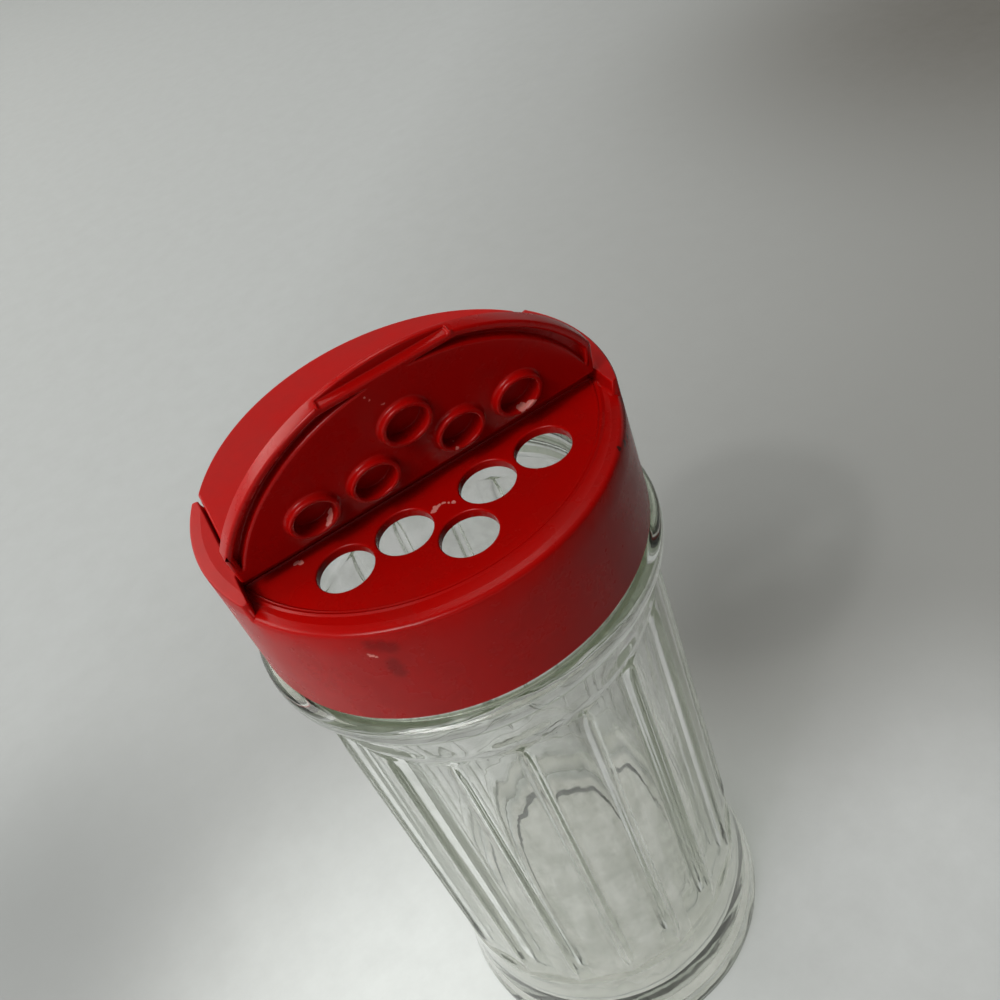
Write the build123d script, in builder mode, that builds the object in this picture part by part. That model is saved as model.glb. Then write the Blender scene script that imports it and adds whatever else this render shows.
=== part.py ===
from build123d import *
import os
from math import atan2, cos, degrees, pi, radians, sin, sqrt

# Glass table shaker with a screw cap that has a flap on each side of a middle bar.
# Millimetres. The jar stands on Z = 0 on its own axis, and X runs along the hinges.
# The front (-Y) flap closes five sift holes, the rear (+Y) flap a spoon opening.

# Jar: fluted body and the flared foot under it
BODY_STEP = 1.9
BODY_TAPER = 1.05
PANEL_COUNT = 18
PANEL_TURN = 5.0
RIB_RADIUS = 1.1
RIB_STAND_OUT = 0.5
RIB_POINT = 7.0
GLASS_WALL = 2.8
HEEL_HEIGHT = 26.0
HEEL_STEP = 0.7
HEEL_ROUND = 1.3
FOOT_FLARE = 2.45
FOOT_ROUND = 2.0
FOOT_BAND = 4.5
FOOT_RING = 7.9
BASE_THICKNESS = 9.0
BASE_CORNER = 7.0
PUSH_UP = 1.4

# Jar: neck that takes the cap, with the land and bead under it, measured down from the rim
JAR_HEIGHT = 145.2
NECK_RADIUS = 29.85
NECK_WALL = 2.85
LAND_STEP = 2.05
BEAD_STEP = 2.4
BEAD_ROUND = 1.9
BEAD_DROP = 21.1
SHOULDER_STEP = 0.5
SHOULDER_DROP = 32.2
RIM_BEVEL = 0.6

# Cap
THREAD_ROOM = 1.65
SKIRT_WALL = 1.5
SKIRT_LENGTH = 18.6
CAP_DRAFT = 0.2
EDGE_BEVEL = 0.8
TOP_RISE = 2.5
TOP_BEVEL = 0.25
BAR_FRONT = 6.75
BAR_WIDTH = 6.0
EAR_WIDTH = 3.8
EAR_REACH = 13.2
DECK_THICKNESS = 1.4
DECK_DROP = 0.5
DECK_MARGIN = 2.65
DECK_SHIFT = 1.9
DECK_BEVEL = 0.3
SEAL_WALL = 0.9
SEAL_DEPTH = 2.5
SEAL_GAP = 0.3

# Openings of the deck, measured from the seal ring that surrounds them
SIFT_DIAMETER = 8.4
SIFT_ROW = 13.9
SIFT_INNER = 6.7
SIFT_MARGIN = 0.4
SINGLE_MARGIN = 0.8
SPOON_MARGIN = 1.3
SPOON_NEAR = 5.0
SPOON_CORNER = 3.0

# Flaps and their moulded hinges
PLATE_THICKNESS = 1.0
FLAP_INSET = 0.7
SIDE_GAP = 0.4
FLAP_CORNER = 1.5
FLAP_BEVEL = 0.3
HINGE_GAP = 0.25
SEAT_GAP = 0.15
RIM_WALL = 1.15
RIM_START = 1.3
THUMB_WIDTH = 18.4
THUMB_DEPTH = 1.6
PAD_INSET = 2.5
PAD_DEPTH = 1.0
RIDGE_WALL = 1.2
PLUG_GAP = 0.3
PLUG_WALL = 0.75
PLUG_REACH = 0.4
PLUG_DRAFT = 4.0
WEB_THICKNESS = 0.3
WEB_GAP = 0.1
WEB_LAP = 0.1
WEB_END = 1.5
SIFT_OPENING = 76.0

# The two sides of the middle bar, as the sign of Y
FRONT = -1
REAR = 1

# Worked out: jar
body_radius = NECK_RADIUS + BODY_STEP
waist_radius = body_radius + HEEL_STEP
foot_radius = waist_radius + FOOT_FLARE
ring_radius = foot_radius - FOOT_RING
heel_top = HEEL_HEIGHT + HEEL_ROUND
body_top_radius = body_radius - BODY_TAPER
mouth_radius = NECK_RADIUS - NECK_WALL
land_radius = NECK_RADIUS + LAND_STEP
bead_radius = land_radius + BEAD_STEP
shoulder_radius = land_radius - SHOULDER_STEP
bead_height = JAR_HEIGHT - BEAD_DROP
shoulder_height = JAR_HEIGHT - SHOULDER_DROP

# Worked out: cap
skirt_inner = NECK_RADIUS + THREAD_ROOM
cap_radius = skirt_inner + SKIRT_WALL
cap_top_radius = cap_radius - CAP_DRAFT
deck_height = JAR_HEIGHT + DECK_THICKNESS
ledge_height = deck_height + DECK_DROP
top_height = ledge_height + TOP_RISE
skirt_bottom = ledge_height - SKIRT_LENGTH
bay_half_width = cap_top_radius - EAR_WIDTH
bar_face = {FRONT: BAR_FRONT, REAR: BAR_WIDTH - BAR_FRONT}
deck_radius = cap_top_radius - DECK_MARGIN
seal_radius = mouth_radius - SEAL_GAP
seal_inner = seal_radius - SEAL_WALL

# Worked out: openings, as x and distance from the middle on the flap's side
row_reach = seal_inner - SIFT_MARGIN - SIFT_DIAMETER / 2
sift_outer = sqrt(row_reach**2 - SIFT_ROW**2)
sift_spots = [(x, SIFT_ROW) for x in (-sift_outer, -SIFT_INNER, SIFT_INNER, sift_outer)]
sift_spots.append((0, seal_inner - SINGLE_MARGIN - SIFT_DIAMETER / 2))
spoon_radius = seal_inner - SPOON_MARGIN

# Worked out: flaps
hinge_radius = PLATE_THICKNESS / 2
hinge_height = top_height - hinge_radius
hinge_offset = {side: bar_face[side] + HINGE_GAP + hinge_radius for side in (FRONT, REAR)}
flap_radius = cap_top_radius - FLAP_INSET
flap_half_width = bay_half_width - SIDE_GAP
pad_radius = flap_radius - PAD_INSET
rim_depth = TOP_RISE - PLATE_THICKNESS - SEAT_GAP
plug_depth = TOP_RISE - PLATE_THICKNESS + DECK_DROP + PLUG_REACH

os.makedirs("parts", exist_ok=True)


def finish(piece, name):
    """Name a finished piece and write it to its own file."""
    piece.part.label = name
    export_step(piece.part, f"parts/{name}.step")


# --- Jar ---------------------------------------------------------------------------


def rib():
    """One moulded rib: a slim spindle with pointed ends, standing on the origin."""
    length = shoulder_height - heel_top - RIB_POINT
    with BuildPart() as spindle:
        with BuildSketch(Plane.XZ):
            Polygon(
                (0, 0),
                (RIB_RADIUS, RIB_POINT),
                (RIB_RADIUS, length - RIB_POINT),
                (0, length),
                align=None,
            )
        revolve(axis=Axis.Z)
    return spindle.part


def panelled_body():
    """Tapered body of flat panels that meet at ribbed corners."""
    rise = shoulder_height - HEEL_HEIGHT
    lean = degrees(atan2(BODY_TAPER, rise))
    axis_radius = body_radius / cos(pi / PANEL_COUNT) + RIB_STAND_OUT - RIB_RADIUS
    turn = PANEL_TURN - 90
    with BuildPart() as body:
        with BuildSketch(Plane.XY.offset(HEEL_HEIGHT)):
            RegularPolygon(body_radius, PANEL_COUNT, major_radius=False, rotation=turn)
        extrude(amount=rise, taper=lean)
        with PolarLocations(axis_radius, PANEL_COUNT, start_angle=turn):
            with Locations(Location((0, 0, heel_top + RIB_POINT / 2), (0, -lean, 0))):
                add(rib())
    return body.part


with BuildPart() as jar:
    # Flared foot, plain core behind the panels, shoulder, bead and neck
    with BuildSketch(Plane.XZ):
        with BuildLine():
            Polyline(
                (0, PUSH_UP),
                (ring_radius - 2 * PUSH_UP, PUSH_UP),
                (ring_radius, 0),
                (foot_radius - FOOT_ROUND, 0),
            )
            RadiusArc((foot_radius - FOOT_ROUND, 0), (foot_radius, FOOT_ROUND), -FOOT_ROUND)
            Line((foot_radius, FOOT_ROUND), (foot_radius, FOOT_BAND))
            TangentArc((waist_radius, HEEL_HEIGHT), (foot_radius, FOOT_BAND), tangent=(0, -1))
            RadiusArc(
                (waist_radius, HEEL_HEIGHT), (waist_radius - HEEL_ROUND, heel_top), -HEEL_ROUND
            )
            Polyline(
                (waist_radius - HEEL_ROUND, heel_top),
                (body_top_radius - GLASS_WALL / 2, heel_top),
                (body_top_radius - GLASS_WALL / 2, shoulder_height - 2 * HEEL_ROUND),
                (shoulder_radius, shoulder_height + HEEL_ROUND),
                (shoulder_radius, bead_height - BEAD_ROUND),
                (bead_radius - BEAD_ROUND, bead_height - BEAD_ROUND),
            )
            ThreePointArc(
                (bead_radius - BEAD_ROUND, bead_height - BEAD_ROUND),
                (bead_radius, bead_height),
                (bead_radius - BEAD_ROUND, bead_height + BEAD_ROUND),
            )
            Polyline(
                (bead_radius - BEAD_ROUND, bead_height + BEAD_ROUND),
                (land_radius, bead_height + BEAD_ROUND),
                (land_radius - THREAD_ROOM / 2, skirt_bottom - SEAT_GAP),
                (NECK_RADIUS, skirt_bottom + THREAD_ROOM / 2),
                (NECK_RADIUS, JAR_HEIGHT - RIM_BEVEL),
                (NECK_RADIUS - RIM_BEVEL, JAR_HEIGHT),
                (0, JAR_HEIGHT),
                (0, PUSH_UP),
            )
        make_face()
    revolve(axis=Axis.Z)
    add(panelled_body())
    # Cavity with a rounded floor corner, a straight wall and a plain mouth
    with BuildSketch(Plane.XZ):
        with BuildLine():
            Line((0, BASE_THICKNESS), (body_radius - GLASS_WALL - BASE_CORNER, BASE_THICKNESS))
            RadiusArc(
                (body_radius - GLASS_WALL - BASE_CORNER, BASE_THICKNESS),
                (body_radius - GLASS_WALL, BASE_THICKNESS + BASE_CORNER),
                -BASE_CORNER,
            )
            Polyline(
                (body_radius - GLASS_WALL, BASE_THICKNESS + BASE_CORNER),
                (body_top_radius - GLASS_WALL, shoulder_height),
                (mouth_radius, bead_height),
                (mouth_radius, JAR_HEIGHT),
                (0, JAR_HEIGHT),
                (0, BASE_THICKNESS),
            )
        make_face()
    revolve(axis=Axis.Z, mode=Mode.SUBTRACT)
finish(jar, "glass_jar")


# --- Cap ---------------------------------------------------------------------------


def bay_sketch(side, height, radius, centre):
    """Part of a round recess that lies in the bay on one side of the middle bar."""
    with BuildSketch(Plane.XY.offset(height)) as bay:
        with Locations((0, centre)):
            Circle(radius)
        with Locations((0, side * (bar_face[side] + cap_radius / 2))):
            Rectangle(2 * bay_half_width, cap_radius, mode=Mode.INTERSECT)
    return bay.sketch


def on_deck_edge(edge):
    """True for the arcs where the recess of each bay breaks out of the ledge."""
    middle = edge.position_at(0.5)
    reach = abs(middle.Y) + DECK_SHIFT
    return abs(middle.Z - ledge_height) < DECK_BEVEL and abs(reach - deck_radius) < DECK_BEVEL


def spoon_sketch(place, near, inset):
    """D-shaped spoon opening, or its plug when shrunk by inset; near is the bar side's distance."""
    with BuildSketch(place) as opening:
        with Locations((0, near - SPOON_NEAR)):
            Circle(spoon_radius - inset)
        with Locations((0, near + inset)):
            Rectangle(
                2 * spoon_radius, spoon_radius, align=(Align.CENTER, Align.MIN), mode=Mode.INTERSECT
            )
        fillet(opening.vertices(), SPOON_CORNER - inset)
    return opening.sketch


with BuildPart() as cap:
    # Skirt and top plate as one turned shell
    with BuildSketch(Plane.XZ):
        Polygon(
            (cap_radius, skirt_bottom),
            (cap_top_radius, ledge_height),
            (0, ledge_height),
            (0, JAR_HEIGHT),
            (skirt_inner, JAR_HEIGHT),
            (skirt_inner, skirt_bottom),
            align=None,
        )
    revolve(axis=Axis.Z)
    chamfer(cap.edges().filter_by(GeomType.CIRCLE).sort_by(Axis.Z)[-1], EDGE_BEVEL)
    # Seal ring that drops inside the glass mouth
    with BuildSketch(Plane.XY.offset(JAR_HEIGHT - SEAL_DEPTH)):
        Circle(seal_radius)
        Circle(seal_inner, mode=Mode.SUBTRACT)
    extrude(amount=SEAL_DEPTH)
    # Raised middle bar and side ears, level with the closed flaps
    with BuildSketch(Plane.XY.offset(ledge_height - EDGE_BEVEL)):
        Circle(cap_top_radius)
        Rectangle(2 * cap_radius, 2 * EAR_REACH, mode=Mode.INTERSECT)
        with Locations([(0, side * (bar_face[side] + EAR_REACH)) for side in (FRONT, REAR)]):
            Rectangle(2 * bay_half_width, 2 * EAR_REACH, mode=Mode.SUBTRACT)
    extrude(amount=TOP_RISE + EDGE_BEVEL)
    chamfer(cap.edges().group_by(Axis.Z)[-1], TOP_BEVEL)
    # Shallow deck in each bay, five sift holes in front and the spoon opening behind
    for side in (FRONT, REAR):
        add(bay_sketch(side, ledge_height, deck_radius, -side * DECK_SHIFT))
    extrude(amount=-DECK_DROP, mode=Mode.SUBTRACT)
    deck_edges = cap.edges().filter_by(GeomType.CIRCLE).filter_by(on_deck_edge)
    chamfer(deck_edges, DECK_BEVEL)
    with BuildSketch(Plane.XY.offset(deck_height)):
        with Locations([(x, FRONT * y) for x, y in sift_spots]):
            Circle(SIFT_DIAMETER / 2)
        add(spoon_sketch(Plane.XY, SPOON_NEAR, 0))
    extrude(amount=-DECK_THICKNESS, mode=Mode.SUBTRACT)
finish(cap, "screw_cap")


# --- Flaps and hinges --------------------------------------------------------------


def flap_plane(side, opening):
    """Plane on a flap's hinge axis: Y runs out along the flap, Z out of its top face."""
    angle = radians(opening)
    outward = Vector(0, side * cos(angle), sin(angle))
    upward = Vector(0, -side * sin(angle), cos(angle))
    return Plane(
        origin=(0, side * hinge_offset[side], hinge_height),
        x_dir=outward.cross(upward),
        z_dir=upward,
    )


def flap_outline(side, inset):
    """Plan of a flap from its hinge axis on the X axis to the cap's edge, shrunk by inset."""
    with BuildSketch(Plane.XY.offset(-hinge_radius)) as outline:
        with Locations((0, -hinge_offset[side])):
            Circle(flap_radius - inset)
        Rectangle(
            2 * (flap_half_width - inset),
            flap_radius,
            align=(Align.CENTER, Align.MIN),
            mode=Mode.INTERSECT,
        )
        fillet(outline.vertices().group_by(Axis.Y)[-1], FLAP_CORNER - inset)
    return outline.sketch


def rim_outline(side, inset):
    """The same plan with the flat of the thumb notch cut across its outer edge."""
    with BuildSketch(Plane.XY.offset(-hinge_radius)) as outline:
        add(flap_outline(side, inset))
        with Locations((0, flap_radius - hinge_offset[side])):
            Rectangle(THUMB_WIDTH + 2 * inset, 2 * (THUMB_DEPTH + inset), mode=Mode.SUBTRACT)
    return outline.sketch


def pad_outline(side, inset):
    """Plan of the thick pad inside the rim; the ridge runs round its curved edge."""
    with BuildSketch(Plane.XY.offset(-hinge_radius)) as outline:
        with Locations((0, -hinge_offset[side])):
            Circle(pad_radius - inset)
        with Locations((0, RIM_START)):
            Rectangle(
                2 * flap_half_width - RIM_WALL,
                flap_radius,
                align=(Align.CENTER, Align.MIN),
                mode=Mode.INTERSECT,
            )
    return outline.sketch


def flap_shell(side):
    """Plate with a round hinge edge, and under it the rim with its thumb notch, pad and ridge."""
    with BuildPart() as shell:
        add(flap_outline(side, 0))
        extrude(amount=PLATE_THICKNESS)
        chamfer(shell.edges().group_by(Axis.Z)[-1].sort_by(Axis.Y)[1:], FLAP_BEVEL)
        with BuildSketch(Plane.YZ):
            Circle(hinge_radius)
        extrude(amount=flap_half_width, both=True)
        with BuildSketch(Plane.XY.offset(-hinge_radius)):
            add(rim_outline(side, 0))
            add(rim_outline(side, RIM_WALL), mode=Mode.SUBTRACT)
            Rectangle(2 * cap_radius, 2 * RIM_START, mode=Mode.SUBTRACT)
        extrude(amount=-rim_depth)
        add(pad_outline(side, 0))
        extrude(amount=-PAD_DEPTH)
        add(pad_outline(side, 0))
        add(pad_outline(side, RIDGE_WALL), mode=Mode.SUBTRACT)
        extrude(amount=-rim_depth)
    return shell.part


def sift_plugs(inset):
    """Plan of the five sift plugs in the flap's own frame, shrunk by inset."""
    with BuildSketch(Plane.XY.offset(-hinge_radius)) as plugs:
        with Locations([(x, y - hinge_offset[FRONT]) for x, y in sift_spots]):
            Circle(SIFT_DIAMETER / 2 - inset)
    return plugs.sketch


def spoon_plug(inset):
    """Plan of the D-shaped spoon plug in the flap's own frame, shrunk by inset."""
    near = SPOON_NEAR - hinge_offset[REAR]
    return spoon_sketch(Plane.XY.offset(-hinge_radius), near, inset)


def flap(side, plug_plan):
    """Whole flap in its own frame; its drafted hollow plugs swing in and out freely."""
    with BuildPart() as closed:
        add(flap_shell(side))
        add(plug_plan(PLUG_GAP))
        extrude(amount=-plug_depth, taper=PLUG_DRAFT)
        add(plug_plan(PLUG_GAP + PLUG_WALL))
        extrude(amount=-plug_depth, taper=PLUG_DRAFT, mode=Mode.SUBTRACT)
    return closed.part


def hinge_web(side):
    """Thin moulded strip along the bar that cradles a flap's round hinge edge."""
    cradle = hinge_radius + WEB_GAP
    bottom = hinge_height - cradle - WEB_THICKNESS
    width = hinge_offset[side] + WEB_LAP - bar_face[side]
    with BuildPart() as web:
        with BuildSketch(Plane.YZ):
            with Locations((side * (bar_face[side] + width / 2), (bottom + hinge_height) / 2)):
                Rectangle(width, hinge_height - bottom)
            with Locations((side * hinge_offset[side], hinge_height)):
                Circle(cradle, mode=Mode.SUBTRACT)
        extrude(amount=flap_half_width - WEB_END, both=True)
    return web


with BuildPart(flap_plane(FRONT, SIFT_OPENING)) as sift_flap:
    add(flap(FRONT, sift_plugs))
finish(sift_flap, "sift_flap")

with BuildPart(flap_plane(REAR, 0)) as spoon_flap:
    add(flap(REAR, spoon_plug))
finish(spoon_flap, "spoon_flap")

finish(hinge_web(FRONT), "sift_hinge_web")
finish(hinge_web(REAR), "spoon_hinge_web")
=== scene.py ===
# %% [markdown]
# # A fluted glass shaker with a red two-flap screw cap
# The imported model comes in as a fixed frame, in metres. The frame says where every piece is and
# how it moves, so each finished piece below is built in its place and rides on one of its bodies.

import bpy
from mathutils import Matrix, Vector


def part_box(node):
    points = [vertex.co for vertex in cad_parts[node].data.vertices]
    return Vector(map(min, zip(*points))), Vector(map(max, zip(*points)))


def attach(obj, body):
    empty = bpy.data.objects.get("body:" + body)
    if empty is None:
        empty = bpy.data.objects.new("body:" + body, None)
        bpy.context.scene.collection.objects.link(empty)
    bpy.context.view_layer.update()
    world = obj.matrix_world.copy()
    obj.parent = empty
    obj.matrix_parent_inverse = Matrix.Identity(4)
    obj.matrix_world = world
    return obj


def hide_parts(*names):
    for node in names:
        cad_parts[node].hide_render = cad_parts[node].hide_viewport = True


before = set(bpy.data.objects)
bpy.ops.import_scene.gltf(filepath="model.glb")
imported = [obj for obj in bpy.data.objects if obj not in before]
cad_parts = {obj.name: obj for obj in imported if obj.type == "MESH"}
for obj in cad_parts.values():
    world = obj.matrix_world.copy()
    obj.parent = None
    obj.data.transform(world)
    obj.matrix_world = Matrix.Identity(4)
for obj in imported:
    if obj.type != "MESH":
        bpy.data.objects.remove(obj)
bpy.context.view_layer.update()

from math import atan2, cos, pi, radians, sin, sqrt, tan

import bmesh
import bpy
from mathutils import Matrix, Vector, noise

MM = 0.001

# %% [markdown]
# ## Building materials from nodes
# A material is a small graph. Written out node by node it hides what it does, so these helpers
# let one line say one step: make a node, set it, and feed each input with either a fixed value or
# another node's output. Positions are object-space, so the effects stay on a piece as it moves.


# %% Make a node and feed its inputs
def feed(tree, source, target):
    """Give an input another node's output, or a fixed number, vector or colour."""
    if isinstance(source, bpy.types.NodeSocket):
        tree.links.new(source, target)
    elif target.type == "RGBA":
        target.default_value = (*source, 1)
    else:
        target.default_value = source


def fill(tree, node, sources):
    """Feed several inputs of a node, each by its name or number, and hand the node back."""
    for name, source in sources.items():
        feed(tree, source, node.inputs[name])
    return node


def new_node(tree, kind, sources=None, **settings):
    """A new shader node with its settings made and its inputs fed."""
    node = tree.nodes.new("ShaderNode" + kind)
    for name, value in settings.items():
        setattr(node, name, value)
    return fill(tree, node, sources or {})


# %% Nodes for sums, ranges, noise and the place on the object
def value_math(tree, operation, *sources):
    """Result of a math node."""
    return new_node(tree, "Math", dict(enumerate(sources)), operation=operation).outputs[0]


def vector_math(tree, operation, *sources):
    """Result of a vector math node: a number for a distance, length or product, else a vector."""
    node = new_node(tree, "VectorMath", dict(enumerate(sources)), operation=operation)
    return node.outputs["Value" if operation in {"DISTANCE", "LENGTH", "DOT_PRODUCT"} else "Vector"]


def stretch(tree, value, low, high, to_low, to_high, **settings):
    """Map a range of values onto another, clamped."""
    ends = {"From Min": low, "From Max": high, "To Min": to_low, "To Max": to_high}
    return new_node(tree, "MapRange", {"Value": value, **ends}, **settings).outputs["Result"]


def noise_value(tree, place, scale, detail, roughness, output="Fac"):
    """A noise that reads an object-space position."""
    sources = {"Vector": place, "Scale": scale, "Detail": detail, "Roughness": roughness}
    return new_node(tree, "TexNoise", sources).outputs[output]


def object_place(tree):
    """The position on the object, in metres."""
    return new_node(tree, "TexCoord").outputs["Object"]


# %% Make a node group
def new_group(name, inputs, outputs):
    """A node group with named sockets, with the nodes that stand for its inputs and outputs."""
    group = bpy.data.node_groups.new(name, "ShaderNodeTree")
    for way, sockets in (("INPUT", inputs), ("OUTPUT", outputs)):
        for socket, kind in sockets.items():
            group.interface.new_socket(name=socket, in_out=way, socket_type="NodeSocket" + kind)
    print("group", name, "puts out", *outputs)
    return group, group.nodes.new("NodeGroupInput"), group.nodes.new("NodeGroupOutput")


# %% [markdown]
# ## Surface effects shared by the plastic pieces
# Moulded polypropylene is never quite even. Its skin has a very fine grain from the mould, and
# handling leaves duller patches. One node group makes both masks, so that the cap and the flaps
# can share them and still be tuned one by one. Each noise is a scale, a detail and a roughness.

# %% A node group for moulded skin
GRAIN_NOISE = (2600, 2, 0.55)
SINK_NOISE, SINK_SHARE = (90, 2, 0.55), 2.5
HANDLED_NOISE, HANDLED_RANGE = (55, 5, 0.7), (0.42, 0.62)


def moulded_skin():
    """Group with the grain height and a mask of patches dulled by handling."""
    group, _, out = new_group("moulded skin", {}, {"Grain Height": "Float", "Handled": "Float"})
    place = object_place(group)
    fine = noise_value(group, place, *GRAIN_NOISE)
    sink = noise_value(group, place, *SINK_NOISE)
    height = value_math(group, "MULTIPLY_ADD", sink, SINK_SHARE, fine)
    patches = noise_value(group, place, *HANDLED_NOISE)
    handled = stretch(group, patches, *HANDLED_RANGE, 0, 1)
    fill(group, out, {"Grain Height": height, "Handled": handled})
    return group


skin = moulded_skin()

# %% [markdown]
# ## Marks on the plastic
# The shaker has pale spots on its plugs, deck and flap, a few dark specks, a mark where the mould
# was filled and a fine bead along the edge of the deck. Painting them as textures would need a
# picture. Here each one is a mask made from distances, in the same millimetres as the model: a spot
# is everything nearer to a point than its radius, and a shifted position frays it.
# The shift and the spot are node groups, since more than one plastic piece has spots.

# %% Node groups for frayed spots
FRAY_NOISE, FRAY_REACH = (1100, 3, 0.5), 0.9


def fray_group():
    """Group with a small random shift of position, which gives spots ragged edges."""
    group, _, out = new_group("fray", {}, {"Shift": "Vector"})
    random = noise_value(group, object_place(group), *FRAY_NOISE, output="Color")
    reach, half = [FRAY_REACH * MM] * 3, [-FRAY_REACH / 2 * MM] * 3
    fill(group, out, {"Shift": vector_math(group, "MULTIPLY_ADD", random, reach, half)})
    return group


def spot_group():
    """Group with the mask of one round spot: full inside its radius, gone one edge further out."""
    inputs = {"Position": "Vector", "Centre": "Vector", "Radius": "Float", "Edge": "Float"}
    group, given, out = new_group("spot", inputs, {"Mask": "Float"})
    given = given.outputs
    away = vector_math(group, "DISTANCE", given["Position"], given["Centre"])
    end = value_math(group, "ADD", given["Radius"], given["Edge"])
    fill(group, out, {"Mask": stretch(group, away, given["Radius"], end, 1, 0)})
    return group


fray, spot = fray_group(), spot_group()

# %% Other masks from distances
LEVEL_EDGE = 0.1


def spots(tree, position, spread, edge):
    """Mask of round spots, given as (x, y, z, radius) in millimetres."""
    mask = None
    for x, y, z, radius in spread:
        sources = {
            "Position": position,
            "Centre": (x * MM, y * MM, z * MM),
            "Radius": radius * MM,
            "Edge": edge * MM,
        }
        one = new_node(tree, "Group", sources, node_tree=spot).outputs["Mask"]
        mask = one if mask is None else value_math(tree, "MAXIMUM", mask, one)
    return mask


def above(tree, place, level, low, high):
    """One value below a height in millimetres and another above it."""
    height = new_node(tree, "SeparateXYZ", {0: place}).outputs["Z"]
    return stretch(tree, height, level * MM, (level + LEVEL_EDGE) * MM, low, high)


def radius_from(tree, place, centre):
    """Distance from a vertical axis through a centre given as (x, y) in millimetres."""
    offset = vector_math(tree, "SUBTRACT", place, (centre[0] * MM, centre[1] * MM, 0))
    return vector_math(tree, "LENGTH", vector_math(tree, "MULTIPLY", offset, (1, 1, 0)))


def ring_bead(tree, place, centre, radius, width, top):
    """Mask of a thin bead on a circle round a vertical axis, only below a given height."""
    gap = value_math(tree, "SUBTRACT", radius_from(tree, place, centre), radius * MM)
    bead = stretch(tree, value_math(tree, "ABSOLUTE", gap), 0, width * MM, 1, 0)
    return value_math(tree, "MULTIPLY", bead, above(tree, place, top, 1, 0))


# %% [markdown]
# ## Materials
# A material takes its colour, roughness and normal from chains of nodes. Colours are laid over one
# another by a mask, like coats of paint. Bumps are stacked from the broadest to the finest, since
# each tilts the normal that the one before it gives.


# %% Make a material, lay colours and stack bumps
def new_material(name):
    """A material of nodes, with its tree and its Principled shader."""
    material = bpy.data.materials.new(name)
    material.use_nodes = True
    print("material", name)
    return material, material.node_tree, material.node_tree.nodes["Principled BSDF"]


def paint(tree, share, under, over):
    """Mix two colours, given as numbers or as outputs, by a share from 0 to 1."""
    sources = {"Factor": share, "A": under, "B": over}
    return new_node(tree, "Mix", sources, data_type="RGBA").outputs["Result"]


def bump(tree, strength, distance, height, normal=None):
    """Normal of a bump whose distance is in millimetres, perhaps on top of another bump."""
    sources = {"Strength": strength, "Distance": distance * MM, "Height": height}
    if normal is not None:
        sources["Normal"] = normal
    return new_node(tree, "Bump", sources).outputs["Normal"]


# %% [markdown]
# The red is a satin plastic. Its colour is nearly the same everywhere, so what makes it look real
# is the roughness: smoother where the mould was polished, duller where hands have been and on the
# etched top ledge. A little light goes under the skin, which keeps the deep recesses red.

# %% Red plastic
RED, RED_HANDLED = (0.42, 0.0016, 0.0008), (0.37, 0.0030, 0.0018)
DULLING, SATIN = 0.07, 0.42
GRAIN_STRENGTH, GRAIN_DEPTH = 0.4, 0.02
BEAD_RISE = 0.22
RED_SHADING = {
    "IOR": 1.49,
    "Specular IOR Level": 0.22,
    "Subsurface Weight": 0.3,
    "Subsurface Radius": (1.0, 0.08, 0.05),
    "Subsurface Scale": 2 * MM,
}


def red_plastic(name, roughness, marks=(), bead=None, ledge=None):
    """Satin moulded red with a fine grain, and perhaps spots, a bead and a satin, domed ledge."""
    material, tree, shader = new_material(name)
    place = object_place(tree)
    effect = new_node(tree, "Group", node_tree=skin).outputs
    tone = paint(tree, effect["Handled"], RED, RED_HANDLED)
    if marks:
        shift = new_node(tree, "Group", node_tree=fray).outputs["Shift"]
        ragged = vector_math(tree, "ADD", place, shift)
    for spread, edge, colour in marks:
        tone = paint(tree, spots(tree, ragged, spread, edge), tone, colour)
    dull = stretch(tree, effect["Handled"], 0, 1, roughness, roughness + DULLING)
    normal = None
    if ledge:
        level, inner, outer, fall = ledge
        dull = value_math(tree, "MAXIMUM", dull, above(tree, place, level, 0, SATIN))
        slope = stretch(tree, radius_from(tree, place, (0, 0)), inner * MM, outer * MM, 1, 0)
        normal = bump(tree, 1, fall, slope)
    if bead:
        normal = bump(tree, 1, BEAD_RISE, ring_bead(tree, place, *bead), normal)
    normal = bump(tree, GRAIN_STRENGTH, GRAIN_DEPTH, effect["Grain Height"], normal)
    fill(tree, shader, {"Base Color": tone, "Roughness": dull, "Normal": normal, **RED_SHADING})
    return material


# %% [markdown]
# Each kind of mark is a soft edge and a colour, and each mark a place and a radius. The bead is a
# centre, a radius, a half width and a height it stays under. The ledge is the height it starts at,
# the radii its fall runs between, and the fall.

# %% Marks on the cap and the front flap, in millimetres
PALE = (0.1, (0.70, 0.24, 0.21))
DARK = (0.1, (0.05, 0.006, 0.005))
GATE = (0.9, (0.26, 0.0008, 0.0005))
DECK_EDGE_BEAD = ((0, 1.9), 30.65, 0.45, 147.2)
CAP_LEDGE_DOME = (147.1, 31.0, 34.7, 0.6)
CAP_PALE = (
    (-21.2, -7.8, 146.6, 0.42),
    (-20.7, -8.2, 146.6, 0.36),
    (-1.8, -13.5, 146.6, 0.36),
    (-1.3, -13.1, 146.6, 0.36),
    (-0.7, -12.95, 146.6, 0.30),
    (0.0, -13.1, 146.6, 0.26),
    (0.6, -13.6, 146.6, 0.20),
    (1.15, -14.1, 146.6, 0.24),
    (-19.1, -26.7, 142.9, 0.28),
    (-18.7, -27.0, 142.6, 0.16),
    (-19.3, -26.5, 143.3, 0.14),
)
CAP_DARK = (
    (24.8, -21.5, 146.0, 0.45),
    (26.2, -19.9, 145.3, 0.50),
    (23.2, -22.6, 146.7, 0.30),
    (29.0, -15.7, 147.1, 0.35),
)
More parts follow.
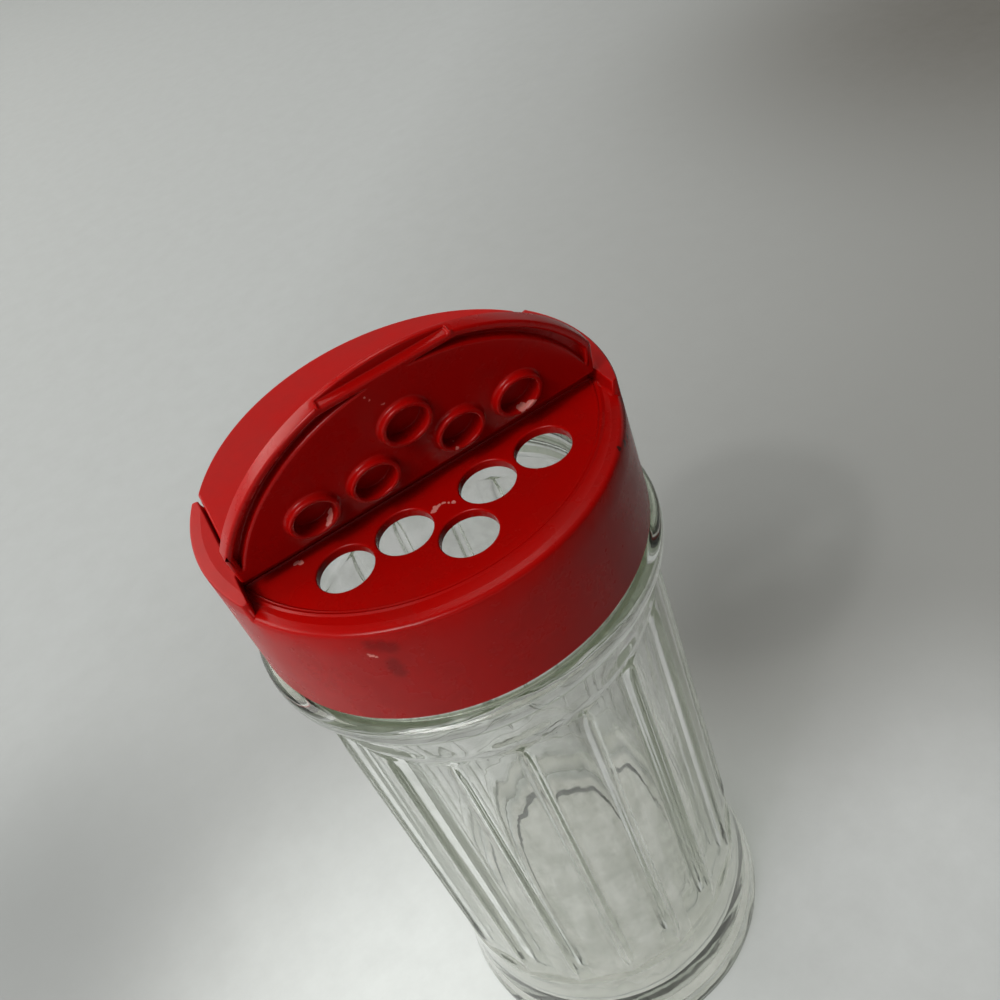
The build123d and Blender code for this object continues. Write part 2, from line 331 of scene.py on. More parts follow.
CAP_GATE = (
    (-18.4, -27.1, 145.0, 0.6),
    (-17.4, -27.8, 144.6, 0.7),
    (-16.6, -28.3, 144.1, 0.7),
    (-17.3, -27.9, 141.0, 0.5),
    (-17.3, -27.9, 139.9, 0.7),
    (-17.1, -28.0, 138.9, 0.5),
)
FLAP_PALE = (
    (16.2, -10.5, 151.9, 0.70),
    (17.2, -11.0, 151.95, 0.62),
    (17.9, -11.2, 152.1, 0.35),
    (-13.8, -9.8, 152.9, 0.48),
    (-14.2, -10.3, 152.5, 0.55),
    (-14.7, -10.7, 152.1, 0.42),
    (5.44, -9.7, 152.25, 0.14),
    (5.31, -11.1, 152.0, 0.18),
    (-3.6, -14.3, 168.8, 0.12),
    (-3.2, -14.1, 167.9, 0.12),
    (-1.75, -13.7, 166.2, 0.13),
    (28.5, -10.8, 155.3, 0.14),
)

# %% The three reds
CAP_ROUGHNESS, FLAP_ROUGHNESS, LID_ROUGHNESS = 0.24, 0.26, 0.34

cap_red = red_plastic(
    "cap red",
    CAP_ROUGHNESS,
    marks=((CAP_PALE, *PALE), (CAP_DARK, *DARK), (CAP_GATE, *GATE)),
    bead=DECK_EDGE_BEAD,
    ledge=CAP_LEDGE_DOME,
)
flap_red = red_plastic("flap red", FLAP_ROUGHNESS, marks=((FLAP_PALE, *PALE),))
lid_red = red_plastic("lid red", LID_ROUGHNESS)

# %% [markdown]
# Clear glass shows what is behind it, so its look comes from the shape of its walls. Real pressed
# glass is a little grey-green in its depth, and its skin is never quite flat. Absorption inside the
# wall makes the depth, a mottled grey tint and a patchy haze lie over it, and a low broad bump makes
# the skin. Two bands on the bead, the thickest glass of all, carry painted olive shade, which stands
# in for the dim green light that thick glass carries there. Rays that ask whether a lamp is hidden
# go straight through with a slight loss, since a lamp's light can't find its way through curved
# glass by chance.

# %% Clear glass
GLASS_IOR = 1.52
GREY_MOTTLE, GREY_MOTTLE_NOISE, GREY_MOTTLE_RANGE = (0.80, 0.81, 0.79), (130, 5, 0.65), (0.45, 0.62)
# Painted olive shade: two bands of height on the bead, standing in for the dim green light in thick
# glass.
PAINTED_OLIVE_SHADE, PAINTED_SHADE_BANDS = (0.42, 0.47, 0.35), ((121.9, 123.7), (126.0, 126.5))
HAZE, HAZE_NOISE, HAZE_RANGE = (0.012, 0.08), (90, 4, 0.65), (0.45, 0.7)
WAVY_NOISE, WAVY_STRENGTH, WAVY_DEPTH = (200, 2, 0.5), 0.35, 0.05
LAMPLIGHT_THROUGH = (0.95, 0.955, 0.95)
DEPTH_TINT, DEPTH_DENSITY = (0.70, 0.73, 0.66), 20


def clear_glass():
    """Soda-lime glass: clear in a thin wall, grey-green where it is thick, mottled grey, with
    painted olive shade on the bead.
    """
    material, tree, shader = new_material("clear glass")
    place = object_place(tree)
    grey_mottle = stretch(tree, noise_value(tree, place, *GREY_MOTTLE_NOISE), *GREY_MOTTLE_RANGE, 0, 1)
    tint = paint(tree, grey_mottle, (1, 1, 1), GREY_MOTTLE)
    # Painted olive shade laid over the tint in each band.
    for low, high in PAINTED_SHADE_BANDS:
        over_low = above(tree, place, low, 0, 1)
        under_high = above(tree, place, high, 1, 0)
        tint = paint(tree, value_math(tree, "MULTIPLY", over_low, under_high), tint, PAINTED_OLIVE_SHADE)
    hazy = stretch(tree, noise_value(tree, place, *HAZE_NOISE), *HAZE_RANGE, *HAZE)
    wavy = bump(tree, WAVY_STRENGTH, WAVY_DEPTH, noise_value(tree, place, *WAVY_NOISE))
    fill(tree, shader, {"Base Color": tint, "Roughness": hazy, "Normal": wavy})
    fill(tree, shader, {"IOR": GLASS_IOR, "Transmission Weight": 1})
    lamps_pass = new_node(tree, "BsdfTransparent", {"Color": LAMPLIGHT_THROUGH}).outputs[0]
    shadow_ray = new_node(tree, "LightPath").outputs["Is Shadow Ray"]
    choice = new_node(tree, "MixShader", {0: shadow_ray, 1: shader.outputs[0], 2: lamps_pass})
    depth = new_node(tree, "VolumeAbsorption", {"Color": DEPTH_TINT, "Density": DEPTH_DENSITY})
    output = tree.nodes["Material Output"]
    fill(tree, output, {"Surface": choice.outputs[0], "Volume": depth.outputs[0]})
    return material


glass = clear_glass()

# %% [markdown]
# ## From outlines to pieces
# Every piece starts as a bmesh and ends as an object at the origin, with its place in its mesh.
# Outlines are lists of (radius, height) in millimetres, because that is how a turned or blown
# part is drawn. A helper rounds their corners with true arcs, so an outline needs few points.

# %% Draw an outline and spin it
SAME_POINT = 0.0005 * MM


def rounded(points, segments=6):
    """Outline through (radius, height, corner radius) points, with an arc at each rounded corner."""
    outline = []
    for i, (r, z, corner) in enumerate(points):
        here = Vector((r, z))
        if corner == 0:
            outline.append(here)
            continue
        back = (Vector(points[i - 1][:2]) - here).normalized()
        ahead = (Vector(points[i + 1][:2]) - here).normalized()
        half = back.angle(ahead) / 2
        centre = here + (back + ahead).normalized() * corner / sin(half)
        start = here + back * corner / tan(half) - centre
        turn = start.angle_signed(here + ahead * corner / tan(half) - centre)
        for k in range(segments + 1):
            outline.append(centre + Matrix.Rotation(-turn * k / segments, 2) @ start)
    return outline


def between(low, high, count):
    """Evenly spaced numbers from low to just under high."""
    return [low + (high - low) * k / count for k in range(count)]


def turned(outline, columns):
    """A closed turned body: the outline, in millimetres, spun once round the Z axis."""
    bm = bmesh.new()
    ring = [bm.verts.new((p.x * MM, 0, p.y * MM)) for p in outline]
    edges = [bm.edges.new(pair) for pair in zip(ring, ring[1:])]
    bmesh.ops.spin(
        bm,
        geom=ring + edges,
        cent=(0, 0, 0),
        axis=(0, 0, 1),
        angle=2 * pi,
        steps=columns,
        use_merge=True,
    )
    bmesh.ops.remove_doubles(bm, verts=bm.verts, dist=SAME_POINT)
    bmesh.ops.recalc_face_normals(bm, faces=bm.faces)
    return bm


# %% Make a piece of a bmesh
def smooth(bm):
    """Shade every face of a bmesh smooth."""
    for face in bm.faces:
        face.smooth = True


def new_object(name, bm, material):
    """Turn a bmesh into an object with one material and link it to the scene."""
    mesh = bpy.data.meshes.new(name)
    bm.to_mesh(mesh)
    bm.free()
    mesh.materials.append(material)
    made = bpy.data.objects.new(name, mesh)
    bpy.context.scene.collection.objects.link(made)
    print(name, "has", len(mesh.polygons), "faces")
    return made


def new_piece(name, bm, material, body):
    """Turn a bmesh into a finished object that rides on a body of the frame."""
    piece = new_object(name, bm, material)
    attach(piece, body)
    return piece


# %% [markdown]
# ## The glass jar
# The jar has a flared foot, eighteen flat panels with a slim rib at each corner, a shoulder, a
# bead that stops the cap, and a threaded neck. It is one closed wall of glass, since a ray of
# light has to enter and leave it properly. So one outline runs up the outside, over the rim and
# down the inside, is spun into a body, and the panels, ribs and thread are pressed into the outer
# wall afterwards, much as the mould does it.

# %% Sizes of the jar, in millimetres
JAR_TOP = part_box("glass_jar")[1].z / MM
FOOT_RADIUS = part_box("glass_jar")[1].x / MM
SKIRT_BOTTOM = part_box("screw_cap")[0].z / MM
FOOT_BAND, FOOT_ROUND, FOOT_RING = 4.5, 2, 27
PUSH_UP, PUSH_UP_FLAT, PUSH_UP_EDGE = 1.4, 12, 24.2
HEEL_HEIGHT, HEEL_ROUND = 26.0, 1.3
WAIST_RADIUS = 32.45
SHOULDER_HEIGHT, SHOULDER_RADIUS = JAR_TOP - 32.2, 31.4
WALL_TOP = SHOULDER_HEIGHT + 3
BEAD_HEIGHT, BEAD_RADIUS = JAR_TOP - 21.1, 34.3
BEAD_ROUND, BEAD_FILLET = 1.9, 0.9
LAND_RADIUS, LAND_ROUND, LAND_FILLET = 31.9, 0.9, 0.2
LAND_SLOPE, DRAFT = 0.15, 0.1
NECK_RADIUS, NECK_FILLET = 29.85, 0.5
NECK_FOOT, NECK_TOP = SKIRT_BOTTOM + 1.5, JAR_TOP - 1.2
MOUTH_RADIUS, MOUTH_ROUND = 27.0, 1.0
SWELL_RADIUS, SWELL_TAPER, SWELL_ROUND = 28.7, 0.3, 1.5
SWELL_TOP, SWELL_FOOT = BEAD_HEIGHT - 2.6, BEAD_HEIGHT - 5.4
INNER_SHOULDER_ROUND = 6
PANEL_LOW, PANEL_HIGH, GLASS_WALL = 31.75, 30.7, 2.8
INNER_WALL = PANEL_LOW - GLASS_WALL
FLOOR_HEIGHT, FLOOR_FLAT, FLOOR_CORNER = 9.0, 12, 7.0
FLOOR_DISH, FLOOR_CROWN = 1, 0.3
print("jar is", JAR_TOP, "mm high, on a foot", 2 * FOOT_RADIUS, "mm across")

# %% Rows and columns of the jar's mesh: each stretch of wall starts at a height and has some rows
WALL_ROWS = (
    (FOOT_BAND, 14),
    (HEEL_HEIGHT, 12),
    (HEEL_HEIGHT + 2, 16),
    (HEEL_HEIGHT + 12, 12),
    (SHOULDER_HEIGHT - 10, 22),
    (WALL_TOP, 0),
)
NECK_ROWS, INNER_SEGMENTS = 44, 10
PANELS, COLUMNS_PER_PANEL = 18, 20


# %% Outline of the jar
def jar_outline():
    """Outline from the middle of the base, up the outside, over the rim and down the inside."""
    foot = rounded(
        [
            (0, PUSH_UP, 0),
            (PUSH_UP_FLAT, PUSH_UP, 0),
            (PUSH_UP_EDGE, PUSH_UP, FOOT_ROUND),
            (FOOT_RING, 0, FOOT_ROUND),
            (FOOT_RADIUS, 0, FOOT_ROUND),
            (FOOT_RADIUS, FOOT_BAND, 0),
        ]
    )
    rows = []
    for (low, count), (high, _) in zip(WALL_ROWS, WALL_ROWS[1:]):
        rows += between(low, high, count)
    wall = [Vector((FOOT_RADIUS, z)) for z in rows[1:]]
    bead_low, bead_high = BEAD_HEIGHT - BEAD_ROUND, BEAD_HEIGHT + BEAD_ROUND
    nearly_half_round = BEAD_ROUND - 0.01
    upper = rounded(
        [
            (SHOULDER_RADIUS, WALL_TOP, 0),
            (SHOULDER_RADIUS, bead_low, BEAD_FILLET),
            (BEAD_RADIUS, bead_low, nearly_half_round),
            (BEAD_RADIUS, bead_high, nearly_half_round),
            (LAND_RADIUS, bead_high + LAND_SLOPE, LAND_FILLET),
            (LAND_RADIUS + DRAFT, SKIRT_BOTTOM - LAND_SLOPE, LAND_ROUND),
            (NECK_RADIUS, SKIRT_BOTTOM - DRAFT, NECK_FILLET),
            (NECK_RADIUS, NECK_FOOT, 0),
        ]
    )
    neck = [Vector((NECK_RADIUS, z)) for z in between(NECK_FOOT, NECK_TOP, NECK_ROWS)[1:]]
    inside = rounded(
        [
            (NECK_RADIUS, NECK_TOP, 0),
            (NECK_RADIUS, JAR_TOP, MOUTH_ROUND),
            (MOUTH_RADIUS, JAR_TOP, MOUTH_ROUND),
            (MOUTH_RADIUS, SWELL_TOP, SWELL_ROUND),
            (SWELL_RADIUS, SWELL_FOOT, SWELL_ROUND),
            (SWELL_RADIUS - SWELL_TAPER, SHOULDER_HEIGHT, INNER_SHOULDER_ROUND),
            (INNER_WALL, FLOOR_HEIGHT + FLOOR_DISH, FLOOR_CORNER),
            (FLOOR_FLAT, FLOOR_HEIGHT, 0),
            (0, FLOOR_HEIGHT + FLOOR_CROWN, 0),
        ],
        segments=INNER_SEGMENTS,
    )
    return foot + wall + upper + neck + inside


print("jar outline has", len(jar_outline()), "points")

# %% [markdown]
# The flutes follow from three plain shapes: a flat panel, a slim round rib on each corner between
# two panels, and the turned foot and shoulder they run into. At each point of the wall the one
# that stands out furthest wins. Foot and shoulder blend into the panels a little, because hot glass
# never fills a sharp corner. The points are crowded towards the ribs, the finest shape there is.

# %% Radius of the fluted wall
FLUTE_SOFTNESS = 0.25
RIB_RADIUS, RIB_STAND_OUT, RIB_END = 1.1, 0.5, 6.0
RIB_LOW, RIB_HIGH = HEEL_HEIGHT + HEEL_ROUND + 3, SHOULDER_HEIGHT - 1


def blended_max(a, b, softness):
    """The larger of two sizes, with a soft change from one to the other."""
    return (a + b + sqrt((a - b) ** 2 + softness**2)) / 2


def core_radius(z):
    """Radius of the turned foot and shoulder behind the panels."""
    flare = FOOT_RADIUS - WAIST_RADIUS
    height = HEEL_HEIGHT - FOOT_BAND
    bend = (height**2 + flare**2) / (2 * flare)
    if z < HEEL_HEIGHT:
        return WAIST_RADIUS + bend - sqrt(bend**2 - (HEEL_HEIGHT - z) ** 2)
    if z < HEEL_HEIGHT + HEEL_ROUND:
        return WAIST_RADIUS - HEEL_ROUND + sqrt(HEEL_ROUND**2 - (z - HEEL_HEIGHT) ** 2)
    slope = (z - SHOULDER_HEIGHT + 2 * HEEL_ROUND) / (3 * HEEL_ROUND)
    if slope < 0:
        return 0
    behind = PANEL_HIGH - GLASS_WALL / 2
    return behind + (SHOULDER_RADIUS - behind) * min(slope, 1)


def fluted_radius(off, z):
    """Radius of the outer wall at an angle off the nearest rib, at height z."""
    rise = (z - HEEL_HEIGHT) / (SHOULDER_HEIGHT - HEEL_HEIGHT)
    flat = PANEL_LOW + (PANEL_HIGH - PANEL_LOW) * min(max(rise, 0), 1)
    corner = flat / cos(pi / PANELS)
    panel = flat / cos(pi / PANELS - abs(off)) if 0 <= rise <= 1 else 0
    radius = blended_max(core_radius(z), panel, FLUTE_SOFTNESS)
    end = min(z - RIB_LOW, RIB_HIGH - z)
    if end > 0:
        width = RIB_RADIUS * sqrt(1 - max(0, 1 - end / RIB_END) ** 2)
        aside = corner * abs(off)
        if aside < width:
            top = corner + RIB_STAND_OUT * width / RIB_RADIUS
            radius = max(radius, top - width + sqrt(width**2 - aside**2))
    return radius


print("ribs run from", RIB_LOW, "to", RIB_HIGH, "mm")

# %% Press the flutes into the wall
FIRST_RIB = radians(5 - 90)
OUTER_SIDE = PANEL_HIGH - 1
CROWDING = 0.65


def press_flutes(bm):
    """Crowd the columns towards the ribs and move the outer wall to its pressed radius."""
    pitch = 2 * pi / PANELS
    for v in bm.verts:
        radius, z = v.co.xy.length / MM, v.co.z / MM
        if radius < OUTER_SIDE or not FOOT_BAND < z < WALL_TOP:
            continue
        angle = atan2(v.co.y, v.co.x) - FIRST_RIB
        share = (angle / pitch + 0.5) % 1 * 2 - 1
        off = pitch / 2 * ((1 - CROWDING) * share + CROWDING * share**3)
        angle = FIRST_RIB + angle - share * pitch / 2 + off
        radius = fluted_radius(off, z)
        v.co.x, v.co.y = radius * cos(angle) * MM, radius * sin(angle) * MM


# %% [markdown]
# The thread is one raised helix that fades in and out, as on any screw-top jar. The inner wall is
# a little wavy, because air alone shapes it when the jar is blown out against its mould. Both are
# made by moving points of the spun body, so the wall stays closed.

# %% Raise the thread and let the glass flow a little
THREAD_PITCH, THREAD_HEIGHT, THREAD_TURNS = 6.0, 0.7, 1.3
THREAD_START, THREAD_HALF_WIDTH = SKIRT_BOTTOM + 4.5, 1.5
THREAD_FADE, THREAD_CREST = 12, 1.5
ON_NECK, NEAR_WALL = 0.02, 0.05
WAVES = ((10, 0.34), (4.5, 0.20), (2, 0.05))


def raise_thread(bm):
    """Push the neck out along a helix that fades in and out."""
    for v in bm.verts:
        radius, z = v.co.xy.length / MM, v.co.z / MM
        if abs(radius - NECK_RADIUS) > ON_NECK or z < NECK_FOOT:
            continue
        turn = atan2(v.co.y, v.co.x) / (2 * pi) % 1
        for lap in range(2):
            along = (turn + lap) / THREAD_TURNS
            if along > 1:
                continue
            middle = THREAD_START + (turn + lap) * THREAD_PITCH
            away = abs(z - middle) / THREAD_HALF_WIDTH
            fade = min(1, along * THREAD_FADE, (1 - along) * THREAD_FADE)
            if away < 1:
                grown = 1 + THREAD_HEIGHT * fade * cos(away * pi / 2) ** THREAD_CREST / radius
                v.co.x *= grown
                v.co.y *= grown


def flow(bm):
    """Wave the inner wall along its normals; each wave is a length and a height."""
    for v in bm.verts:
        radius, z = v.co.xy.length / MM, v.co.z / MM
        if radius > INNER_WALL + NEAR_WALL or not FLOOR_HEIGHT - 1 < z < BEAD_HEIGHT:
            continue
        wave = sum(height * noise.noise(v.co / MM / length) for length, height in WAVES)
        v.co += v.normal * wave * MM


# %% Make the jar
bm = turned(jar_outline(), PANELS * COLUMNS_PER_PANEL)
press_flutes(bm)
raise_thread(bm)
bm.normal_update()
flow(bm)
bmesh.ops.recalc_face_normals(bm, faces=bm.faces)
smooth(bm)
jar = new_piece("jar", bm, glass, "jar")
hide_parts("glass_jar")

# %% [markdown]
# ## The cap and its flaps
# These are one moulding in real life, with hardly a crisp edge on it: a mould tool is rounded
# where steel was cut, and polypropylene shrinks. Their shapes are right in the frame already, so
# each is a copy of its frame node, merged back from loose triangles to whole faces. A bevel then
# rounds the crisp edges, each by its own share of the widest rounding. The edges left unrounded
# are marked sharp, or their shading would smear over the flat faces beside them.

# %% How far each edge is rounded, in millimetres
WIDEST = 0.55
LIP, FOOT_FILLET, RIM_ROUND, PLUG_LIP, FINE_ROUND = 0.3, 0.5, 0.42, 0.28, 0.22
HINGE_CLEAR = 1.0
FRONT_HINGE = Vector((0, -7.5, 149.1)) * MM
REAR_HINGE = Vector((0, 0, 149.1)) * MM
FRONT_OPENING = radians(76)
RIM_DEPTH, PLUG_DEPTH, FOOT_DEPTH, SAME_DEPTH = 1.85, 2.9, 0.6, 0.1
CAP_LEDGE, CAP_SHOULDER = 147.3 * MM, 31.0 * MM


def flap_depth(point):
    """How far a point lies under the open front flap's hinge axis, in millimetres."""
    down = Vector((0, -sin(FRONT_OPENING), -cos(FRONT_OPENING)))
    return (point - FRONT_HINGE).dot(down) / MM


def near_hinge(middle, hinge):
    """Whether a point is at the round hinge edge, which stays as it is."""
    return (middle - hinge).yz.length < HINGE_CLEAR * MM


def front_flap_width(middle, convex):
    """Rounding of a front flap edge: broad on the rim and at the feet, fine on the rest."""
    depth = flap_depth(middle)
    if near_hinge(middle, FRONT_HINGE):
        return 0
    if abs(depth - RIM_DEPTH) < SAME_DEPTH:
        return RIM_ROUND
    if abs(depth - PLUG_DEPTH) < SAME_DEPTH:
        return PLUG_LIP
    if not convex and depth > FOOT_DEPTH:
        return FOOT_FILLET
    return FINE_ROUND


def rear_flap_width(middle, convex):
    """Rounding of a rear flap edge."""
    return 0 if near_hinge(middle, REAR_HINGE) else LIP


def cap_width(middle, convex):
    """Rounding of a cap edge: none where the ears run into the bevel of the skirt."""
    if middle.z < CAP_LEDGE and middle.xy.length > CAP_SHOULDER:
        return 0
    return LIP if convex else FOOT_FILLET


# %% Soften a frame node
LOOSE, LEVEL = 0.001 * MM, radians(0.3)
CRISP, CREASE = radians(55), radians(50)
ROUND_SEGMENTS = 4


def softened(node, width_at, lowest):
    """A merged copy of a frame node whose upper crisp edges carry a share of the widest rounding."""
    bm = bmesh.new()
    bm.from_mesh(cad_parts[node].data)
    bmesh.ops.remove_doubles(bm, verts=bm.verts, dist=LOOSE)
    upper = [e for e in bm.edges if min(v.co.z for v in e.verts) > lowest * MM]
    bmesh.ops.dissolve_limit(bm, angle_limit=LEVEL, verts=[], edges=upper, delimit={"NORMAL"})
    share = bm.edges.layers.float.new("bevel_weight_edge")
    for edge in bm.edges:
        middle = (edge.verts[0].co + edge.verts[1].co) / 2
        if len(edge.link_faces) != 2:
            continue
        turn = edge.calc_face_angle()
        if turn > CRISP and middle.z > lowest * MM:
            edge[share] = width_at(middle, edge.is_convex) / WIDEST
        edge.smooth = edge[share] > 0 or turn < CREASE
    smooth(bm)
    return bm


def soften_edges(piece):
    """Round the marked edges, and let the small rounded faces blend between the large flat ones."""
    rounding = piece.modifiers.new("rounding", "BEVEL")
    rounding.limit_method = "WEIGHT"
    rounding.width = WIDEST * MM
    rounding.segments = ROUND_SEGMENTS
    rounding.use_clamp_overlap = False
    rounding.miter_outer = "MITER_ARC"
    weights = piece.modifiers.new("even shading", "WEIGHTED_NORMAL")
    weights.keep_sharp = True


# %% Make the cap and the flaps, each rounded above its lowest height in millimetres
CAP_LOWEST, FLAP_LOWEST, LID_LOWEST = 146.0, 0, 148.0

for node, name, body, material, width_at, lowest in (
    ("screw_cap", "cap", "cap", cap_red, cap_width, CAP_LOWEST),
    ("sift_flap", "front_flap", "sift_lid", flap_red, front_flap_width, FLAP_LOWEST),
    ("spoon_flap", "rear_flap", "spoon_lid", lid_red, rear_flap_width, LID_LOWEST),
):
    piece = new_piece(name, softened(node, width_at, lowest), material, body)
    soften_edges(piece)
    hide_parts(node)

# %% [markdown]
# The thin strips that carry the flaps on the bar lie behind the flaps' hinge edges, where little
# of them shows. They need no finer shape than the frame gives them, so the frame's own nodes stay
# and only turn red.

# %% Colour the hinge strips
for node in ("sift_hinge_web", "spoon_hinge_web"):
    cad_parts[node].data.materials.clear()
    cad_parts[node].data.materials.append(cap_red)
    print(node, "is", cap_red.name)

# %% [markdown]
# ## Floor, lamps and world
# The shaker stands on pale paper under a room's uneven light. Lamps close by could make its pools
# and falls, but they would also blaze in the glass, so the lamps stay far off and plain, and the
# rest is painted light in the paper's colour: a painted fall from lit to shaded, painted pools of
# light and shade, the jar's painted shadow and a painted bright patch under the jar. Each painted
# pool is a place, a full radius, an edge, a share and a colour. The floor lies a hair under the
# foot, since two surfaces in one plane flicker.

# %% Floor
FLOOR_HALF = 2.5
FLOOR_GAP = 0.03 * MM
# Painted fall of light: the paper runs from its lit colour to its shaded colour along one direction.
PAPER_LIT, PAPER_SHADED = (0.50, 0.52, 0.52), (0.21, 0.205, 0.19)
SHADE_DIRECTION, SHADE_RANGE = (0.715, -0.699, 0), (-0.22, 0.26)
# Painted light and shade: two pools of light at the front, painted shade at the back left and far
# right, the jar's painted shadow on its right, and a painted bright patch under the jar where glass
# would focus light.
PAINTED_LIGHT_AND_SHADE = (
    (-50, -15, 15, 122, 1.0, (0.86, 0.90, 0.89)),
    (56, -42, 8, 94, 0.95, (0.64, 0.66, 0.66)),
    (-145, 95, 0, 85, 0.5, (0.22, 0.23, 0.23)),
    (410, 265, 0, 225, 0.62, (0.10, 0.088, 0.07)),
    (64, 26, 0, 72, 0.34, (0.10, 0.09, 0.075)),
    (0, 0, 30, 34, 0.85, (0.95, 0.95, 0.93)),
)
FIBRE_NOISE, FIBRE_RANGE = (90, 8, 0.7), (0.3, 0.7)
FIBRE_SHARE, FIBRE_TONE = 0.13, (0.30, 0.30, 0.29)
PAPER_SHADING = {"Roughness": 0.9, "Specular IOR Level": 0.2}


def paper():
    """Pale matt paper with a faint mottle and painted pools and falls of light and shade."""
    material, tree, shader = new_material("paper")
    place = object_place(tree)
    # Painted fall of light, from lit to shaded paper.
    along = vector_math(tree, "DOT_PRODUCT", place, SHADE_DIRECTION)
    tone = paint(tree, stretch(tree, along, *SHADE_RANGE, 0, 1), PAPER_LIT, PAPER_SHADED)
    # Each painted pool of light or shade is laid over the paper's colour.
    for x, y, full, edge, share, colour in PAINTED_LIGHT_AND_SHADE:
        away = vector_math(tree, "DISTANCE", place, (x * MM, y * MM, 0))
        painted_pool = stretch(tree, away, full * MM, edge * MM, share, 0, interpolation_type="SMOOTHSTEP")
        tone = paint(tree, painted_pool, tone, colour)
    fibres = noise_value(tree, place, *FIBRE_NOISE)
    tone = paint(tree, stretch(tree, fibres, *FIBRE_RANGE, 0, FIBRE_SHARE), tone, FIBRE_TONE)
    fill(tree, shader, {"Base Color": tone, **PAPER_SHADING})
    return material


bm = bmesh.new()
bmesh.ops.create_grid(bm, x_segments=1, y_segments=1, size=FLOOR_HALF)
bmesh.ops.translate(bm, vec=(0, 0, -FLOOR_GAP), verts=bm.verts)
floor = new_object("floor", bm, paper())

# %% [markdown]
# A broad lamp with a small bulb in it stands high on the left, which gives the shadow a soft edge
# and a firmer core. A weak one hangs behind and above, as a room's ceiling light does. Another,
# broad as a window, stands behind on the left and lays a soft sheen on the cap's top. Each is a
# place, a target, a size, a power and a tint, in metres and watts. Glass doesn't show the lamps
# behind it, so none of them shines through the jar as a bright patch.

# %% Lamps
KEY_PLACE, KEY_TARGET, KEY_TINT = (-1.2, -0.8, 1.9), (0, 0, 0.08), (1.0, 0.99, 0.97)
LAMPS = (
    ("key", KEY_PLACE, KEY_TARGET, (1.1, 1.1), 27, KEY_TINT),
    ("bulb", KEY_PLACE, KEY_TARGET, (0.12, 0.12), 7, KEY_TINT),
    ("ceiling", (0.25, 0.95, 1.6), (0, 0, 0.14), (0.5, 0.5), 3.5, (1.0, 0.97, 0.90)),
    ("window", (-1.3, 1.3, 1.3), (0, 0.3, 0.0), (1.9, 1.2), 27, (1.0, 0.98, 0.91)),
)

for name, place, target, size, power, tint in LAMPS:
    data = bpy.data.lights.new(name, "AREA")
    data.shape = "RECTANGLE"
    data.size, data.size_y = size
    data.energy = power
    data.color = tint
    lamp = bpy.data.objects.new(name, data)
    lamp.location = place
    lamp.rotation_euler = (Vector(target) - Vector(place)).to_track_quat("-Z", "Y").to_euler()
    lamp.visible_transmission = False
    bpy.context.scene.collection.objects.link(lamp)
    print("lamp", name, "of", power, "watts")

# %% [markdown]
# Glass shows its edges only by what they bend into view, so a black card stands on the right,
# unseen by the camera itself. It gives the jar its dark edges there, as a card does in a studio.

# %% Black card
CARD_PLACE, CARD_TARGET = Vector((0.42, -0.28, 0.32)), Vector((0, 0, 0.1))
CARD_SIZE, CARD_TONE = (0.8, 0.6, 1), (0.01, 0.01, 0.01)

black, tree, shader = new_material("black card")
fill(tree, shader, {"Base Color": CARD_TONE, "Roughness": 1})
bm = bmesh.new()
bmesh.ops.create_grid(bm, x_segments=1, y_segments=1, size=0.5)
bmesh.ops.scale(bm, vec=CARD_SIZE, verts=bm.verts)
aim = (CARD_TARGET - CARD_PLACE).to_track_quat("Z", "Y").to_matrix().to_4x4()
bmesh.ops.transform(bm, matrix=Matrix.Translation(CARD_PLACE) @ aim, verts=bm.verts)
card = new_object("right_card", bm, black)
card.visible_camera = False

# %% [markdown]
# Rays that the camera, gloss or glass send past the floor see a pale ring of walls with a dark
# ceiling, since the glass would otherwise have nothing to show but one even tone. For all other
# rays the world is an even, weak light, so that the walls don't light the shaker as well.

# %% World
WALLS, CEILING, CEILING_RISE = (0.46, 0.47, 0.45), (0.05, 0.05, 0.045), (0.22, 0.5)
AMBIENT, AMBIENT_STRENGTH = (0.95, 0.98, 1.0), 0.18

world = bpy.data.worlds.new("studio")
bpy.context.scene.world = world
world.use_nodes = True
tree = world.node_tree
towards = new_node(tree, "TexCoord").outputs["Generated"]
rise = new_node(tree, "SeparateXYZ", {0: towards}).outputs["Z"]
room = paint(tree, stretch(tree, rise, *CEILING_RISE, 0, 1), WALLS, CEILING)
backdrop = fill(tree, tree.nodes["Background"], {"Color": room, "Strength": 1})
ambient = new_node(tree, "Background", {"Color": AMBIENT, "Strength": AMBIENT_STRENGTH})
ray = new_node(tree, "LightPath").outputs
seen = value_math(tree, "MAXIMUM", ray["Is Camera Ray"], ray["Is Glossy Ray"])
seen = value_math(tree, "MAXIMUM", seen, ray["Is Transmission Ray"])
mix = new_node(tree, "MixShader", {0: seen, 1: ambient.outputs[0], 2: backdrop.outputs[0]})
fill(tree, tree.nodes["World Output"], {"Surface": mix.outputs[0]})
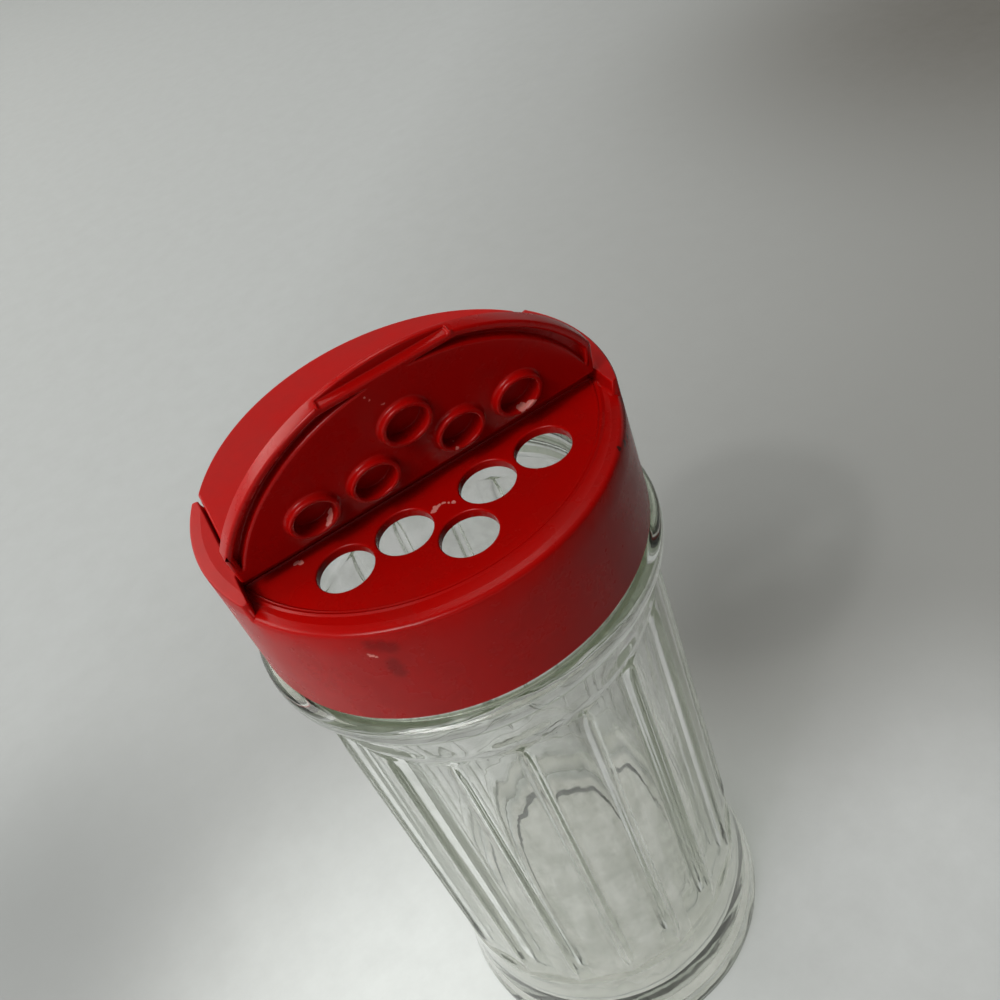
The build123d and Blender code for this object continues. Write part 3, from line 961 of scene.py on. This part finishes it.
print("world", world.name, "has", len(tree.nodes), "nodes")

# %% [markdown]
# ## Camera
# The camera looks down at the cap from close by, tilted sideways, so that the shaker leans across
# the frame. Its place is given as turns round a target point and a distance.

# %% Camera
CAMERA_AZIMUTH, CAMERA_ELEVATION, CAMERA_ROLL = radians(-14.162), radians(42.07), radians(-22.255)
CAMERA_DISTANCE = 155.592 * MM
CAMERA_TARGET = Vector((10.172, -2.788, 131.834)) * MM
FOCAL_SHARE = 0.990882
SENSOR = 36
CLIP_START = 0.01

back = Vector(
    (
        sin(CAMERA_AZIMUTH) * cos(CAMERA_ELEVATION),
        -cos(CAMERA_AZIMUTH) * cos(CAMERA_ELEVATION),
        sin(CAMERA_ELEVATION),
    )
)
right = (-back).cross(Vector((0, 0, 1))).normalized()
up = right.cross(-back)
rolled_right = cos(CAMERA_ROLL) * right + sin(CAMERA_ROLL) * up
rolled_up = cos(CAMERA_ROLL) * up - sin(CAMERA_ROLL) * right
data = bpy.data.cameras.new("camera")
data.sensor_width = SENSOR
data.lens = FOCAL_SHARE * SENSOR
data.clip_start = CLIP_START
camera = bpy.data.objects.new("camera", data)
bpy.context.scene.collection.objects.link(camera)
camera.matrix_world = Matrix.Translation(CAMERA_TARGET + back * CAMERA_DISTANCE) @ Matrix(
    (rolled_right, rolled_up, back)
).transposed().to_4x4()
bpy.context.scene.camera = camera
print("camera at", camera.matrix_world.translation, "with a lens of", data.lens)

# %% [markdown]
# ## Output levels
# The Standard view keeps the red deep, which softer views wash out. Light that glass focuses comes
# out as bright specks unless a render runs very long, so it is left out, and a painted bright patch
# in the paper under the jar stands in for it. A ray needs many bounces to find its way out of thick
# glass, or the glass turns black there.

# %% Output levels
BOUNCES, CLEAR_BOUNCES = 32, 16

bpy.context.scene.view_settings.view_transform = "Standard"
cycles = bpy.context.scene.cycles
cycles.caustics_refractive = False
cycles.caustics_reflective = False
cycles.max_bounces = BOUNCES
cycles.transmission_bounces = BOUNCES
cycles.glossy_bounces = BOUNCES
cycles.transparent_max_bounces = CLEAR_BOUNCES
